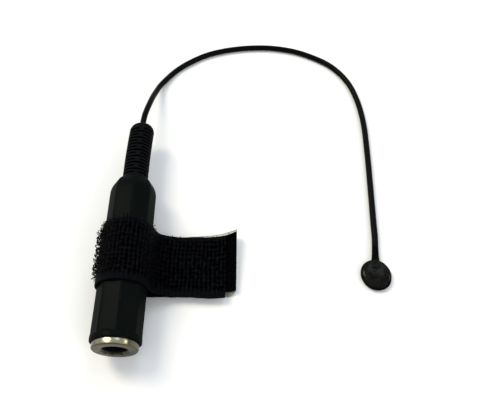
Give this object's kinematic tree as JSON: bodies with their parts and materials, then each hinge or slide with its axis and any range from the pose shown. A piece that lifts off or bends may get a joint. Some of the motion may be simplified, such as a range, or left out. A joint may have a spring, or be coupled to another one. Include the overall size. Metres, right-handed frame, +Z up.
{
  "type": "contact sensor lead with inline jack socket",
  "caption": "Small coated contact sensor on a thin lead, joined to an inline 6.35 mm jack socket that hangs in a hook tape strap with a peelable loop patch.",
  "frame": {"origin": "on the barrel's axis, where the jack bore's parallel wall begins behind the countersink", "axes": "+Y along the barrel from the plug opening to the lead, +X towards the flap and the sensor, +Z up from the surface that it lies on"},
  "size_m": [0.0884, 0.1227, 0.0173],
  "materials": {
    "nickel": "turned brass with a warm satin nickel plating",
    "plated_steel": "pressed steel sheet, tin plated",
    "phenolic": "moulded brown phenolic",
    "spring_bronze": "phosphor bronze spring strip, lightly plated",
    "solder": "reflowed solder, softly shiny",
    "core_plastic": "extruded core insulation",
    "copper": "bare stranded copper",
    "jacket": "soft matte black jacket",
    "black_shell": "black moulded shell with a fine satin skin",
    "boot_rubber": "black moulded flexible boot",
    "hook_tape": "black woven nylon tape with rows of hooks",
    "loop_pile": "black napped loop pile on a woven ground",
    "adhesive": "clear to amber adhesive film",
    "liner_paper": "siliconed release paper",
    "dip_coating": "glossy black dipped coating",
    "brass_sheet": "thin rolled brass",
    "piezo_ceramic": "silvered piezo ceramic"
  },
  "bodies": {
    "socket": {"nose_bush": "nickel", "sleeve_frame": "plated_steel", "cable_clamp": "plated_steel", "insulator_block": "phenolic", "tip_lug": "spring_bronze", "top_insulator": "phenolic", "rivets": "plated_steel", "tip_solder": "solder", "sleeve_solder": "solder", "core_insulation": "core_plastic", "core_strands": "copper", "screen_pigtail": "copper", "lead_tail": "jacket", "lead": "jacket", "lead_end": "jacket", "disc_coating": "dip_coating", "brass_plate": "brass_sheet", "ceramic_disc": "piezo_ceramic", "disc_solder": "solder", "disc_wires": "copper"},
    "contact": {"tip_contact": "spring_bronze"},
    "boot": {"strain_relief_boot": "boot_rubber"},
    "cover": {"cover": "black_shell"},
    "strap": {"strap_collar": "hook_tape", "collar_hooks": "hook_tape"},
    "flap": {"flap_upper": "hook_tape", "flap_hooks": "hook_tape", "flap_lower": "hook_tape", "flap_adhesive": "adhesive"},
    "patch": {"loop_patch": "loop_pile", "patch_adhesive": "adhesive", "release_liner": "liner_paper"}
  },
  "joints": [
    {"name": "tip_contact_flex", "type": "hinge", "parent": "socket", "child": "contact", "pos_m": [0, 0.031, 0.00365], "axis": [-1, 0, 0], "range_deg": [0, 6], "stiffness_Nm_per_rad": 0.125},
    {"name": "boot_slide", "type": "slide", "parent": "socket", "child": "boot", "axis": [0, 1, 0], "range_m": [0, 0.003]},
    {"name": "cover_turn", "type": "hinge", "parent": "boot", "child": "cover", "pos_m": [0, 0.0525, 0], "axis": [0, 1, 0], "range_deg": [0, 1440]},
    {"name": "strap_slide", "type": "slide", "parent": "cover", "child": "strap", "axis": [0, 1, 0], "range_m": [-0.013, 0.011]},
    {"name": "flap_lift", "type": "hinge", "parent": "strap", "child": "flap", "pos_m": [0.01245, 0.027, -0.0046], "axis": [0, -1, 0], "range_deg": [0, 70]},
    {"name": "patch_peel", "type": "hinge", "parent": "flap", "child": "patch", "pos_m": [0.0126, 0.027, -0.00668], "axis": [0, 1, 0], "range_deg": [0, 60]}
  ],
  "couplings": [
    {"joint": "boot_slide", "follows": "cover_turn", "m_per_rad": 0.00011937}
  ]
}
